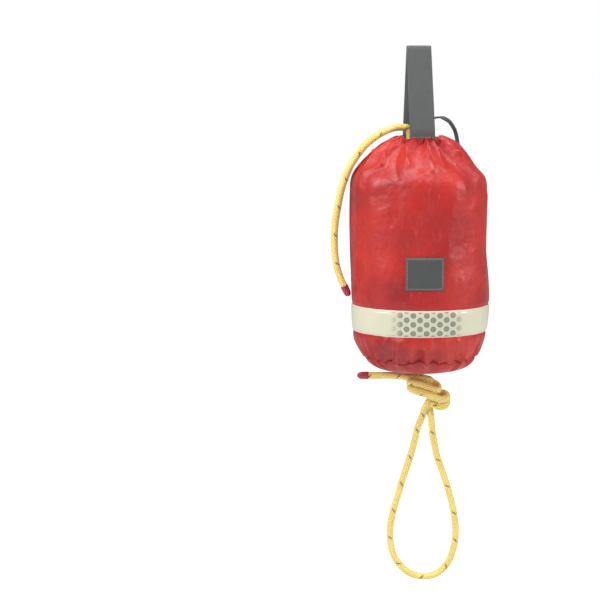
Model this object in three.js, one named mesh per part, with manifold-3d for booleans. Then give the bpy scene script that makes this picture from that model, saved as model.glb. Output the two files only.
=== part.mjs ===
// A rescue throw bag hanging from its webbing handle, in millimetres, +Z up.
// The origin is on the inner face of the handle's top fold. The front faces -Y.
import * as THREE from 'three';
import { mergeVertices } from 'three/addons/utils/BufferGeometryUtils.js';
import Module from 'manifold-3d';

const wasm = await Module();
wasm.setup();

// Driving dimensions
const GAP = 0.3;
const ROPE_D = 8;
const WEBBING_W = 28;
const WEBBING_T = 1.8;
const LOOP_TOP_FLAT = 7;
const LOOP_BEND_R = 2;
const LOOP_SPREAD_FRONT = 13;
const LOOP_SPREAD_BACK = 12;
const FRONT_LEG_SHIFT = 4;
const BACK_LEG_SHIFT = -2.5;
const HINGE_Z = -97;
const STRAP_FLEX_GAP = 5.2;
const SEWN_END_LENGTH = 13;
const BAG_DEPTH_RATIO = 0.87;
const BAG_WIDTH = 154;
const MOUTH_WIDTH = 58;
const FABRIC_T = 1.2;
const MOUTH_Z = -99;
const SHOULDER_Z = -148;
const BAND_TOP_Z = -284.5;
const BAND_H = 30;
const BAND_T = 0.6;
const SEAM_Z = -346;
const BASE_Z = -362;
const LABEL_W = 42;
const LABEL_H = 36;
const LABEL_X = 5;
const LABEL_Z = -244;
const LABEL_T = 0.6;
const HEM_H = 7;
const HEM_T = 3;
const NECK_X = 4;
const GROMMET_BORE_R = 5;
const GROMMET_FLANGE_R = 11;
const GROMMET_FLANGE_T = 1.4;
const DISC_T = 11;
const DISC_WIDTH = 108;
const DISC_ABOVE_FLANGE = 12;
const STOPPER_R = 10;
const PACK_CLEARANCE = 4;
const KNOT_LOBE_R = 10.8;
const TIP_LENGTH = 9;
const TIP_D = 8.6;
const TAPE_W = 4.5;
const TAPE_T = 1.6;
const LOCK_X = 50;
const LOCK_STANDOFF = 4.01;
const LOCK_Y = (BAG_WIDTH / 2) * BAG_DEPTH_RATIO + LOCK_STANDOFF;
const LOCK_Z = -150;
const LOCK_R = 7.5;
const LOCK_L = 19;
const LOCK_WALL = 1.8;
const BUTTON_R = LOCK_R - LOCK_WALL - GAP;
const BUTTON_TRAVEL = 3;
const BUTTON_PROUD = 5;
const SPRING_R = 3.4;
const SPRING_L = 5;
const ROUND = 40;

const part = new THREE.Group();
const finishes = {
  webbing: new THREE.MeshStandardMaterial({ color: 0x696c6a, roughness: 0.85, metalness: 0 }),
  nylon: new THREE.MeshStandardMaterial({ color: 0xc83c37, roughness: 0.45, metalness: 0 }),
  reflective: new THREE.MeshStandardMaterial({ color: 0xe1e4cd, roughness: 0.35, metalness: 0 }),
  label: new THREE.MeshStandardMaterial({ color: 0x555856, roughness: 0.6, metalness: 0 }),
  rope: new THREE.MeshStandardMaterial({ color: 0xe8cd6e, roughness: 0.7, metalness: 0 }),
  tip: new THREE.MeshStandardMaterial({ color: 0x9b233c, roughness: 0.4, metalness: 0 }),
  foam: new THREE.MeshStandardMaterial({ color: 0x2c2e30, roughness: 0.9, metalness: 0 }),
  steel: new THREE.MeshStandardMaterial({ color: 0xb9bcbd, roughness: 0.3, metalness: 1 }),
  plastic: new THREE.MeshStandardMaterial({ color: 0x2a2b2c, roughness: 0.5, metalness: 0 }),
};

function at(x, y, z) {
  return new THREE.Vector3(x, y, z);
}

function add(name, geometry, finish) {
  const mesh = new THREE.Mesh(geometry, finish.clone());
  mesh.name = name;
  part.add(mesh);
  return mesh;
}

// Booleans
function solid(geometry) {
  const bare = geometry.clone();
  bare.deleteAttribute('normal');
  bare.deleteAttribute('uv');
  const merged = mergeVertices(bare, 1e-4);
  return new wasm.Manifold(new wasm.Mesh({
    numProp: 3,
    vertProperties: new Float32Array(merged.attributes.position.array),
    triVerts: new Uint32Array(merged.index.array),
  }));
}

function surface(body) {
  const mesh = body.getMesh();
  const geometry = new THREE.BufferGeometry();
  const positions = new Float32Array(mesh.vertProperties);
  geometry.setAttribute('position', new THREE.BufferAttribute(positions, 3));
  geometry.setIndex(new THREE.BufferAttribute(new Uint32Array(mesh.triVerts), 1));
  geometry.computeVertexNormals();
  return geometry;
}

function cylinder(radius, length, centre, axis) {
  const geometry = new THREE.CylinderGeometry(radius, radius, length, 32);
  const turn = new THREE.Quaternion().setFromUnitVectors(at(0, 1, 0), axis.clone().normalize());
  geometry.applyQuaternion(turn);
  geometry.translate(centre.x, centre.y, centre.z);
  return solid(geometry);
}

function block(size, centre) {
  const geometry = new THREE.BoxGeometry(size.x, size.y, size.z);
  geometry.translate(centre.x, centre.y, centre.z);
  return solid(geometry);
}

// One closed body through a list of rings of equal count. "loop" joins the last ring to the first.
function skin(rings, loop = false) {
  const count = rings[0].length;
  const points = rings.flat();
  const faces = [];
  const bands = loop ? rings.length : rings.length - 1;
  for (let i = 0; i < bands; i += 1) {
    const low = i * count;
    const high = ((i + 1) % rings.length) * count;
    for (let j = 0; j < count; j += 1) {
      const next = (j + 1) % count;
      faces.push(low + j, low + next, high + next, low + j, high + next, high + j);
    }
  }
  if (!loop) {
    for (const [ring, start, order] of [[rings[0], 0, -1], [rings.at(-1), points.length - count, 1]]) {
      const centre = ring.reduce((sum, p) => sum.add(p), at(0, 0, 0)).divideScalar(count);
      const hub = points.push(centre) - 1;
      for (let j = 0; j < count; j += 1) {
        const next = (j + 1) % count;
        faces.push(...(order > 0 ? [hub, start + j, start + next] : [hub, start + next, start + j]));
      }
    }
  }
  let volume = 0;
  for (let i = 0; i < faces.length; i += 3) {
    const [a, b, c] = faces.slice(i, i + 3).map((k) => points[k]);
    volume += a.dot(b.clone().cross(c));
  }
  if (volume < 0) {
    faces.reverse();
  }
  const geometry = new THREE.BufferGeometry().setFromPoints(points);
  geometry.setIndex(faces);
  geometry.computeVertexNormals();
  return geometry;
}

// A cord of round section along hand-chosen points. A rounded end is a half ball on that end point.
function cordTube(points, diameter, steps, { sides = 10, roundStart = false, roundEnd = false } = {}) {
  const curve = new THREE.CatmullRomCurve3(points, false, 'centripetal');
  const frames = curve.computeFrenetFrames(steps, false);
  const ring = (centre, n, b, radius) => Array.from({ length: sides }, (_, j) => {
    const angle = (2 * Math.PI * j) / sides;
    return centre.clone()
      .addScaledVector(n, radius * Math.cos(angle))
      .addScaledVector(b, radius * Math.sin(angle));
  });
  const radius = diameter / 2;
  const rings = [];
  for (let i = 0; i <= steps; i += 1) {
    rings.push(ring(curve.getPointAt(i / steps), frames.normals[i], frames.binormals[i], radius));
  }
  const cap = (index, way) => [0.25, 0.5, 0.75, 0.94].map((share) => {
    const centre = curve.getPointAt(index / steps);
    centre.addScaledVector(frames.tangents[index], way * radius * share);
    const girth = radius * Math.sqrt(1 - share * share);
    return ring(centre, frames.normals[index], frames.binormals[index], girth);
  });
  const head = roundStart ? cap(0, -1).reverse() : [];
  const tail = roundEnd ? cap(steps, 1) : [];
  return skin([...head, ...rings, ...tail]);
}

// A flat strip with its width along X. A station is a point of its inner face, with the angle in YZ of
// its outward normal.
function strip(stations, width, thickness) {
  const rings = stations.map(({ x, y, z, angle }) => {
    const out = at(0, Math.cos(angle), Math.sin(angle)).multiplyScalar(thickness);
    const inner = at(x, y, z);
    return [
      inner.clone().add(at(-width / 2, 0, 0)),
      inner.clone().add(at(width / 2, 0, 0)),
      inner.clone().add(at(width / 2, 0, 0)).add(out),
      inner.clone().add(at(-width / 2, 0, 0)).add(out),
    ];
  });
  return skin(rings);
}

// Bag outline: half width, height and sideways drift of the outer surface, mouth to base.
const HALF = BAG_WIDTH / 2;
const SHOULDER_H = MOUTH_Z - SHOULDER_Z;
const outline = [
  { a: MOUTH_WIDTH / 2, z: MOUTH_Z, x: 1 },
  { a: HALF * 0.52, z: MOUTH_Z - SHOULDER_H * 0.07, x: 0.5 },
  { a: HALF * 0.72, z: MOUTH_Z - SHOULDER_H * 0.36, x: -2 },
  { a: HALF * 0.87, z: MOUTH_Z - SHOULDER_H * 0.67, x: -2.5 },
  { a: HALF * 0.975, z: SHOULDER_Z + 4, x: 0 },
  { a: HALF, z: SHOULDER_Z - 14, x: 1 },
  { a: HALF * 0.992, z: (SHOULDER_Z + BAND_TOP_Z) / 2, x: 1 },
  { a: HALF, z: BAND_TOP_Z + 4, x: 3.6 },
  { a: HALF * 0.972, z: BAND_TOP_Z - BAND_H, x: 3 },
  { a: HALF * 0.945, z: BAND_TOP_Z - BAND_H - 12, x: 2.6 },
  { a: HALF * 0.82, z: SEAM_Z, x: 4 },
  { a: HALF * 0.67, z: SEAM_Z + (BASE_Z - SEAM_Z) * 0.62, x: 4.5 },
  { a: HALF * 0.42, z: SEAM_Z + (BASE_Z - SEAM_Z) * 0.93, x: 4 },
  { a: HALF * 0.16, z: BASE_Z, x: NECK_X },
];
const outlinePoints = outline.map((p) => at(p.a, p.x, p.z));
const outlineCurve = new THREE.CatmullRomCurve3(outlinePoints, false, 'centripetal');
const OUTLINE_STEPS = 400;
const fineOutline = outlineCurve.getPoints(OUTLINE_STEPS).map((p) => ({ a: p.x, x: p.y, z: p.z }));

function outlineAt(z) {
  const below = fineOutline.findIndex((p) => p.z <= z);
  const low = fineOutline[below < 0 ? fineOutline.length - 1 : below];
  const high = fineOutline[Math.max(0, (below < 0 ? fineOutline.length : below) - 1)];
  const share = high.z === low.z ? 0 : (high.z - z) / (high.z - low.z);
  return {
    a: THREE.MathUtils.lerp(high.a, low.a, share),
    x: THREE.MathUtils.lerp(high.x, low.x, share),
    z,
  };
}

function section(p, inset = 0, sides = ROUND) {
  return Array.from({ length: sides }, (_, j) => {
    const angle = (2 * Math.PI * j) / sides;
    return at(
      p.x + (p.a - inset) * Math.cos(angle),
      (p.a * BAG_DEPTH_RATIO - inset) * Math.sin(angle),
      p.z,
    );
  });
}

// The part of the outline between two heights, as points with the outward normal of the profile
function stretch(top, bottom, count) {
  const heights = Array.from({ length: count }, (_, i) => top + ((bottom - top) * i) / (count - 1));
  const points = heights.map(outlineAt);
  return points.map((p, i) => {
    const before = points[Math.max(0, i - 1)];
    const after = points[Math.min(count - 1, i + 1)];
    const length = Math.hypot(after.a - before.a, after.z - before.z);
    return { ...p, na: (before.z - after.z) / length, nz: (after.a - before.a) / length };
  });
}

// A shell of fabric: "outset" lifts it off the outline, "thickness" is measured inwards from there.
function shell(points, outset, thickness) {
  const moved = (p, by) => ({ a: p.a + p.na * by, x: p.x, z: p.z + p.nz * by });
  const outer = points.map((p) => section(moved(p, outset)));
  const inner = points.map((p) => section(moved(p, outset - thickness))).reverse();
  return skin([...outer, ...inner], true);
}

// Handle: one strip of webbing folded over, both ends going down to the mouth
const strapEndZ = HINGE_Z + STRAP_FLEX_GAP;
function legStations(side, spread, shift) {
  const top = LOOP_TOP_FLAT / 2 + LOOP_BEND_R;
  const straight = Array.from({ length: 5 }, (_, i) => {
    const share = i / 4;
    return {
      x: shift * share,
      y: side * (top + (spread - top) * share),
      z: -LOOP_BEND_R + (strapEndZ + LOOP_BEND_R) * share,
      angle: side > 0 ? 0 : Math.PI,
    };
  });
  const bend = [0.25, 0.5, 0.75].map((share) => {
    const turn = (Math.PI / 2) * share;
    return {
      x: 0,
      y: side * (LOOP_TOP_FLAT / 2 + LOOP_BEND_R * Math.sin(turn)),
      z: -LOOP_BEND_R + LOOP_BEND_R * Math.cos(turn),
      angle: side > 0 ? Math.PI / 2 - turn : Math.PI / 2 + turn,
    };
  });
  return [{ x: 0, y: (side * LOOP_TOP_FLAT) / 2, z: 0, angle: Math.PI / 2 }, ...bend, ...straight];
}

function buildHandle() {
  const front = legStations(-1, LOOP_SPREAD_FRONT, FRONT_LEG_SHIFT).reverse();
  const back = legStations(1, LOOP_SPREAD_BACK, BACK_LEG_SHIFT);
  add('handle_strap', strip([...front, ...back], WEBBING_W, WEBBING_T), finishes.webbing);
  const ends = [
    ['strap_end_front', -1, LOOP_SPREAD_FRONT, FRONT_LEG_SHIFT],
    ['strap_end_back', 1, LOOP_SPREAD_BACK, BACK_LEG_SHIFT],
  ];
  for (const [name, side, spread, shift] of ends) {
    const angle = side > 0 ? 0 : Math.PI;
    const station = (z) => ({ x: shift, y: side * spread, z, angle });
    const stations = [station(HINGE_Z - GAP), station(HINGE_Z - SEWN_END_LENGTH)];
    add(name, strip(stations, WEBBING_W, WEBBING_T), finishes.webbing);
  }
}

// Fabric body
function buildBag() {
  add('bag_side_panel', shell(stretch(MOUTH_Z - GAP, SEAM_Z, 26), 0, FABRIC_T), finishes.nylon);
  add('bag_base_panel', shell(stretch(SEAM_Z - GAP, BASE_Z, 9), 0, FABRIC_T), finishes.nylon);

  const mouth = { a: MOUTH_WIDTH / 2 - FABRIC_T - GAP, x: 1 };
  const bore = { a: mouth.a - HEM_T, x: 1 };
  const hemTop = MOUTH_Z;
  const hemBottom = MOUTH_Z - HEM_H;
  const levels = [[mouth, hemTop], [mouth, hemBottom], [bore, hemBottom], [bore, hemTop]];
  const hem = solid(skin(levels.map(([p, z]) => section({ ...p, z })), true));
  const slotFor = (side, spread, shift) => block(
    at(WEBBING_W + 2 * GAP, WEBBING_T + 2 * GAP, 3 * SEWN_END_LENGTH),
    at(shift, side * (spread + WEBBING_T / 2), HINGE_Z),
  );
  const cut = hem
    .subtract(slotFor(-1, LOOP_SPREAD_FRONT, FRONT_LEG_SHIFT))
    .subtract(slotFor(1, LOOP_SPREAD_BACK, BACK_LEG_SHIFT));
  add('mouth_hem', surface(cut), finishes.nylon);

  const band = stretch(BAND_TOP_Z, BAND_TOP_Z - BAND_H, 5);
  add('reflective_band', shell(band, GAP + BAND_T, BAND_T), finishes.reflective);
}

// Bare label: a patch that follows the bag's front
function buildLabel() {
  const columns = 9;
  const rows = [LABEL_Z + LABEL_H / 2, LABEL_Z, LABEL_Z - LABEL_H / 2];
  const rings = Array.from({ length: columns }, (_, i) => {
    const x = LABEL_X - LABEL_W / 2 + (LABEL_W * i) / (columns - 1);
    const face = (z, lift) => {
      const p = outlineAt(z);
      const share = (x - p.x) / p.a;
      return at(x, -p.a * BAG_DEPTH_RATIO * Math.sqrt(1 - share * share) - lift, z);
    };
    const near = rows.map((z) => face(z, GAP + 0.1));
    const far = rows.map((z) => face(z, GAP + 0.1 + LABEL_T)).reverse();
    return [...near, ...far];
  });
  add('label_patch', skin(rings), finishes.label);
}

// Rope end fitting, float disc and stuffed rope
const flangeTop = BASE_Z + FABRIC_T + 2.2;
const discBottom = flangeTop + GROMMET_FLANGE_T + DISC_ABOVE_FLANGE;
const discTop = discBottom + DISC_T;
const stopperZ = discTop + STOPPER_R + GAP;
const packBottom = stopperZ + STOPPER_R + 2;
const packTop = HINGE_Z - SEWN_END_LENGTH - 1;
function buildInside() {
  const axis = at(0, 0, 1);
  const ring = (outerR, innerR, low, high) => {
    const profile = [[innerR, low], [outerR, low], [outerR, high], [innerR, high], [innerR, low]];
    const geometry = new THREE.LatheGeometry(profile.map(([r, z]) => new THREE.Vector2(r, z)), 32);
    geometry.rotateX(Math.PI / 2);
    geometry.translate(NECK_X, 0, 0);
    return surface(solid(geometry));
  };
  const sleeveTop = flangeTop + GROMMET_FLANGE_T;
  add('base_grommet', ring(GROMMET_FLANGE_R, GROMMET_BORE_R, BASE_Z - GROMMET_FLANGE_T - GAP, BASE_Z - GAP),
    finishes.steel);
  add('grommet_washer', ring(GROMMET_FLANGE_R, GROMMET_BORE_R, flangeTop, sleeveTop), finishes.steel);

  const disc = { a: DISC_WIDTH / 2, x: NECK_X };
  const slab = solid(skin([section({ ...disc, z: discBottom }), section({ ...disc, z: discTop })]));
  const hole = cylinder(ROPE_D / 2 + 1, 4 * DISC_T, at(NECK_X, 0, discTop), axis);
  add('float_disc', surface(slab.subtract(hole)), finishes.foam);

  const levels = 18;
  const rings = Array.from({ length: levels }, (_, i) => {
    const share = (i + 0.5) / levels;
    const z = packBottom + (packTop - packBottom) * share;
    const inner = outlineAt(z);
    const fullness = (1 - Math.abs(2 * share - 1) ** 12) ** 0.5;
    return section({ a: (inner.a - FABRIC_T - PACK_CLEARANCE) * fullness, x: inner.x, z }, 0, 40);
  });
  add('rope_pack', skin(rings), finishes.rope);

  const knot = new THREE.SphereGeometry(STOPPER_R, 20, 12);
  knot.scale(1.2, 1, 1);
  knot.translate(NECK_X, 0, stopperZ);
  add('inner_stopper_knot', surface(solid(knot)), finishes.rope);

  const neck = [at(NECK_X, 0, stopperZ - STOPPER_R - GAP), at(NECK_X, 0, discBottom),
    at(NECK_X, 0, BASE_Z - GROMMET_FLANGE_T)];
  add('rope_neck', cordTube(neck, ROPE_D, 6), finishes.rope);
}

// Rope outside the base: knot, tail and grab loop
const knotHingeZ = BASE_Z - GROMMET_FLANGE_T - GAP - ROPE_D / 2;
const lobes = [
  { from: at(1.5, 0, -377.6), to: at(12, 0, -377.2) },
  { from: at(19, 0, -394.5), to: at(26, 0, -395.8) },
];
const tailPoints = [
  at(-10.8, 0, -369.2), at(-16, -0.7, -368), at(-24, -1, -367.3), at(-34, -1, -367), at(-44, -1, -367),
  at(-55.5, -1, -367),
];
const loopPoints = [
  at(6.7, 0, -414.5), at(2, 0, -426.6), at(-1.1, 0, -440.2), at(-6.4, 0, -460.2), at(-14.8, 0, -486.4),
  at(-19.2, 0, -502.2), at(-25.7, 0, -525.3), at(-28.8, 0, -546.3), at(-26.7, 0, -567.3), at(-19.6, 0, -583),
  at(-7, 0, -595.1), at(9.4, 0, -599.3), at(25.4, 0, -595.6), at(37.4, 0, -583), at(43.8, 0, -565.2),
  at(45.8, 0, -546.3), at(43.9, 0, -527.4), at(38.1, 0, -502.2), at(30.7, 0, -479.1), at(24.1, 0, -460.2),
  at(19.7, 0, -439.2), at(17.8, 0, -426.6), at(16.9, 0, -414.5),
];
function capsule({ from, to }, radius) {
  const length = from.distanceTo(to);
  const geometry = new THREE.CapsuleGeometry(radius, length, 6, 18);
  const way = to.clone().sub(from).normalize();
  geometry.applyQuaternion(new THREE.Quaternion().setFromUnitVectors(at(0, 1, 0), way));
  const middle = from.clone().add(to).multiplyScalar(0.5);
  geometry.translate(middle.x, middle.y, middle.z);
  return solid(geometry);
}

function cordTip(points, name) {
  const end = points.at(-1);
  const way = end.clone().sub(points.at(-2)).normalize();
  const start = end.clone().addScaledVector(way, GAP);
  const geometry = cordTube([start, start.clone().addScaledVector(way, TIP_LENGTH)], TIP_D, 1, { sides: 16 });
  add(name, geometry, finishes.tip);
}

function buildRopeOutside() {
  const stubPoints = [at(NECK_X, 0, knotHingeZ), at(NECK_X, 0, lobes[0].from.z)];
  const stub = cordTube(stubPoints, ROPE_D, 3, { roundStart: true });
  const body = capsule(lobes[0], KNOT_LOBE_R).add(capsule(lobes[1], KNOT_LOBE_R)).add(solid(stub));
  add('rope_knot', surface(body), finishes.rope);
  add('rope_tail', cordTube(tailPoints, ROPE_D, 8), finishes.rope);
  cordTip(tailPoints, 'rope_tail_tip');
  add('rope_loop', cordTube(loopPoints, ROPE_D, 44, { roundStart: true, roundEnd: true }), finishes.rope);
}

// Free end of the rope, out of the mouth and over the left shoulder
const freeEndPoints = [
  at(-9, -0.5, -103), at(-9.3, -0.5, -96), at(-11.5, -1, -89.5), at(-18, -2, -88), at(-27, -3.5, -88.5),
  at(-37, -6, -92), at(-48.4, -9, -98.5), at(-59.8, -11, -108), at(-69, -12, -119.7), at(-76.4, -13, -131.7),
  at(-81, -13, -143), at(-85, -13, -155), at(-88.2, -13, -170), at(-92.2, -13, -195), at(-92.8, -13, -217),
  at(-91, -13, -238), at(-86, -13, -255), at(-81.3, -13, -265),
];
function buildFreeEnd() {
  add('rope_free_end', cordTube(freeEndPoints, ROPE_D, 36), finishes.rope);
  cordTip(freeEndPoints, 'rope_free_end_tip');
}

// Drawcord tape with its spring lock, behind the right shoulder
const tapePoints = [
  at(9, 20, -98), at(10.5, 20.3, -89), at(16.6, 20.5, -80.5), at(26, 21, -78.5), at(35, 22, -82.5),
  at(41.8, 26, -92), at(45, 35, -101), at(47, 47, -108), at(49, 60, -115), at(LOCK_X, LOCK_Y - 1.5, -125),
  at(LOCK_X, LOCK_Y, -136), at(LOCK_X, LOCK_Y, -150), at(LOCK_X, LOCK_Y, -165), at(LOCK_X, LOCK_Y, -178),
];
function buildDrawcord() {
  const curve = new THREE.CatmullRomCurve3(tapePoints, false, 'centripetal');
  const steps = 40;
  const wide = at(1, 0, 0);
  const rings = Array.from({ length: steps + 1 }, (_, i) => {
    const centre = curve.getPointAt(i / steps);
    const tangent = curve.getTangentAt(i / steps);
    const turned = THREE.MathUtils.smoothstep(i / steps, 0.18, 0.5);
    const across = at(0, 1, 0).lerp(wide, turned);
    across.addScaledVector(tangent, -across.dot(tangent)).normalize();
    const thin = across.clone().cross(tangent).normalize();
    return [[-1, -1], [1, -1], [1, 1], [-1, 1]].map(([u, v]) => centre.clone()
      .addScaledVector(across, (u * TAPE_W) / 2)
      .addScaledVector(thin, (v * TAPE_T) / 2));
  });
  add('drawcord', skin(rings), finishes.webbing);

  const last = tapePoints.at(-1);
  const knot = new THREE.SphereGeometry(4.2, 16, 10);
  knot.translate(last.x, last.y, last.z - 4.2 - GAP);
  add('drawcord_end_knot', surface(solid(knot)), finishes.webbing);

  const along = at(1, 0, 0);
  const slotWidth = TAPE_W + 4 * GAP;
  const slotDepth = TAPE_T + 4 * GAP;
  const tall = 4 * LOCK_R;
  const lowX = LOCK_X - LOCK_L * 0.72;
  const highX = lowX + LOCK_L;
  const centre = (low, high) => at((low + high) / 2, LOCK_Y, LOCK_Z);
  const floorX = lowX + LOCK_WALL + BUTTON_TRAVEL;
  const barrel = cylinder(LOCK_R, LOCK_L, centre(lowX, highX), along)
    .subtract(cylinder(BUTTON_R + GAP, LOCK_L, centre(lowX + LOCK_WALL, lowX + LOCK_WALL + LOCK_L), along))
    .subtract(block(at(slotWidth, slotDepth, tall), at(LOCK_X, LOCK_Y, LOCK_Z)));
  add('cord_lock_barrel', surface(barrel), finishes.plastic);

  const springHigh = floorX + SPRING_L;
  const buttonLow = springHigh + GAP;
  const buttonHigh = highX + BUTTON_PROUD;
  const slotLow = LOCK_X - slotWidth / 2;
  const slotHigh = LOCK_X + slotWidth / 2 + BUTTON_TRAVEL;
  const button = cylinder(BUTTON_R, buttonHigh - buttonLow, centre(buttonLow, buttonHigh), along)
    .subtract(block(at(slotHigh - slotLow, slotDepth, tall), at((slotLow + slotHigh) / 2, LOCK_Y, LOCK_Z)));
  add('cord_lock_button', surface(button), finishes.plastic);

  const spring = cylinder(SPRING_R, SPRING_L, centre(floorX, springHigh), along)
    .subtract(cylinder(SPRING_R - 0.8, 2 * SPRING_L, centre(floorX, springHigh), along));
  add('cord_lock_spring', surface(spring), finishes.steel);
}

buildHandle();
buildBag();
buildLabel();
buildInside();
buildRopeOutside();
buildFreeEnd();
buildDrawcord();

export default part;
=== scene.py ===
import math

import bpy
import numpy as np
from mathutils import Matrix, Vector


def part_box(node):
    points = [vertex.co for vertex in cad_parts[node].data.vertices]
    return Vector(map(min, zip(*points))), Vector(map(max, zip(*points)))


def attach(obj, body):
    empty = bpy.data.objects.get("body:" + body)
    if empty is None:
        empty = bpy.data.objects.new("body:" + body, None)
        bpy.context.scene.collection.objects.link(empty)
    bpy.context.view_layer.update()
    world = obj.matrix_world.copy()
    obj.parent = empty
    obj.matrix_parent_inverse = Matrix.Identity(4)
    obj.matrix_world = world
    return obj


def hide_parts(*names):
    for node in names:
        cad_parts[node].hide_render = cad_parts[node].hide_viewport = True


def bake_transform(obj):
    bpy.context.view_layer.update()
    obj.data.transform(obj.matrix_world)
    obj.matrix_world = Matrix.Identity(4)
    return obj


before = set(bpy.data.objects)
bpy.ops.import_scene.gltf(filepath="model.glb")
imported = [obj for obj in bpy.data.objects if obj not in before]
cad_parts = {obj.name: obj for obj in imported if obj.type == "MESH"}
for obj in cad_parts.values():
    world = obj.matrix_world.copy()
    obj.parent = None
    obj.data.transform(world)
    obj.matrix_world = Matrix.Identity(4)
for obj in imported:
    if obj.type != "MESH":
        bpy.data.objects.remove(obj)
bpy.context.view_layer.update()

MM = 0.001
ROPE_D = 8 * MM
BACK = math.pi / 2


# ---------------------------------------------------------------- camera
VIEW_ELEVATION = math.radians(8)
VIEW_DISTANCE = 2.5
VIEW_TARGET = Vector((-131 * MM, 0, -281.5 * MM))
VIEW_HALF_WIDTH = 336 * MM


def make_camera():
    data = bpy.data.cameras.new("camera")
    data.sensor_width = 36
    data.lens = 18 * VIEW_DISTANCE / VIEW_HALF_WIDTH
    camera = bpy.data.objects.new("camera", data)
    bpy.context.collection.objects.link(camera)
    away = Vector((0, -math.cos(VIEW_ELEVATION), math.sin(VIEW_ELEVATION)))
    camera.location = VIEW_TARGET + VIEW_DISTANCE * away
    camera.rotation_euler = (math.pi / 2 - VIEW_ELEVATION, 0, 0)
    bpy.context.scene.camera = camera


# ---------------------------------------------------------------- curves and meshes
def lengths_along(path):
    """The distance along a path to each of its points."""
    return np.concatenate([[0], np.cumsum(np.linalg.norm(np.diff(path, axis=0), axis=1))])


def smooth_path(points, step):
    """A centripetal Catmull-Rom curve through given points, resampled evenly, in metres."""
    given = np.array(points, float) * MM
    ends = [2 * given[0] - given[1], *given, 2 * given[-1] - given[-2]]
    dense = []
    for p0, p1, p2, p3 in zip(ends, ends[1:], ends[2:], ends[3:]):
        knots = np.cumsum([0] + [np.linalg.norm(b - a) ** 0.5 for a, b in ((p0, p1), (p1, p2), (p2, p3))])
        t0, t1, t2, t3 = knots
        t = np.linspace(t1, t2, 24, endpoint=False)[:, None]
        a1 = (t1 - t) / (t1 - t0) * p0 + (t - t0) / (t1 - t0) * p1
        a2 = (t2 - t) / (t2 - t1) * p1 + (t - t1) / (t2 - t1) * p2
        a3 = (t3 - t) / (t3 - t2) * p2 + (t - t2) / (t3 - t2) * p3
        b1 = (t2 - t) / (t2 - t0) * a1 + (t - t0) / (t2 - t0) * a2
        b2 = (t3 - t) / (t3 - t1) * a2 + (t - t1) / (t3 - t1) * a3
        dense.append((t2 - t) / (t2 - t1) * b1 + (t - t1) / (t2 - t1) * b2)
    dense = np.vstack([*dense, given[-1:]])
    along = lengths_along(dense)
    count = max(2, int(round(along[-1] / step)) + 1)
    even = np.linspace(0, along[-1], count)
    return np.column_stack([np.interp(even, along, dense[:, k]) for k in range(3)])


def carried_frames(path, first=(0, 1, 0)):
    """Tangents, and two cross directions that don't twist along the path."""
    tangents = np.gradient(path, axis=0)
    tangents /= np.linalg.norm(tangents, axis=1)[:, None]
    side = np.array(first, float)
    sides = []
    for tangent in tangents:
        side = side - side.dot(tangent) * tangent
        side /= np.linalg.norm(side)
        sides.append(side)
    sides = np.array(sides)
    return tangents, sides, np.cross(tangents, sides)


def make_mesh(name, points, faces, material, uv=None, colours=None):
    mesh = bpy.data.meshes.new(name)
    mesh.from_pydata(np.asarray(points).tolist(), [], [list(map(int, f)) for f in faces])
    mesh.polygons.foreach_set("use_smooth", np.ones(len(mesh.polygons), bool))
    corners = np.empty(len(mesh.loops), int)
    mesh.loops.foreach_get("vertex_index", corners)
    if uv is not None:
        mesh.uv_layers.new(name="Weave").data.foreach_set("uv", np.asarray(uv)[corners].ravel())
    for key, values in (colours or {}).items():
        values = np.asarray(values, float)
        layer = mesh.color_attributes.new(key, "FLOAT_COLOR", "POINT")
        rgba = np.column_stack([values, values, values, np.ones(len(values))])
        layer.data.foreach_set("color", rgba.ravel())
    mesh.validate()
    piece = bpy.data.objects.new(name, mesh)
    bpy.context.collection.objects.link(piece)
    mesh.materials.append(material)
    return piece


def grid_faces(rows, columns, wrapped=True, first=0):
    i, j = np.meshgrid(np.arange(rows - 1), np.arange(columns if wrapped else columns - 1), indexing="ij")
    here = first + i * columns + j
    beside = first + i * columns + (j + 1) % columns
    return np.stack([here, beside, beside + columns, here + columns], axis=-1).reshape(-1, 4)


def tube_points(path, radius, sides, cap_start=True, cap_end=True, first=(0, 1, 0)):
    """Rings of a round cord. radius is one number or one per ring and side. Caps are domes."""
    tangents, sides_a, sides_b = carried_frames(path, first)
    angles = np.linspace(0, 2 * np.pi, sides, endpoint=False)
    cosines, sines = np.cos(angles)[None, :, None], np.sin(angles)[None, :, None]
    out = cosines * sides_a[:, None] + sines * sides_b[:, None]
    radius = np.broadcast_to(radius, out.shape[:2])
    rings = path[:, None] + out * radius[..., None]
    dome = np.array([0.3, 0.6, 0.85, 0.97, 1.0])
    parts = [rings]
    for wanted, index, way in ((cap_start, 0, -1), (cap_end, -1, 1)):
        if not wanted:
            continue
        reach = radius[index].mean()
        cap = [path[index] + way * reach * s * tangents[index]
               + out[index] * (radius[index] * math.sqrt(max(0, 1 - s * s)))[:, None] for s in dome]
        cap = np.array(cap)
        parts = [cap[::-1], *parts] if way < 0 else [*parts, cap]
    return np.concatenate(parts)


# ---------------------------------------------------------------- rope
BRAID_STRANDS = 8
BRAID_LEAD = 34 * MM
BRAID_RELIEF = 0.42 * MM
FLECK_SPACING = 16 * MM
FLECK_LONG, FLECK_WIDE, FLECK_SLANT = 1.0 * MM, 2.3 * MM, 0.8


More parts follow.
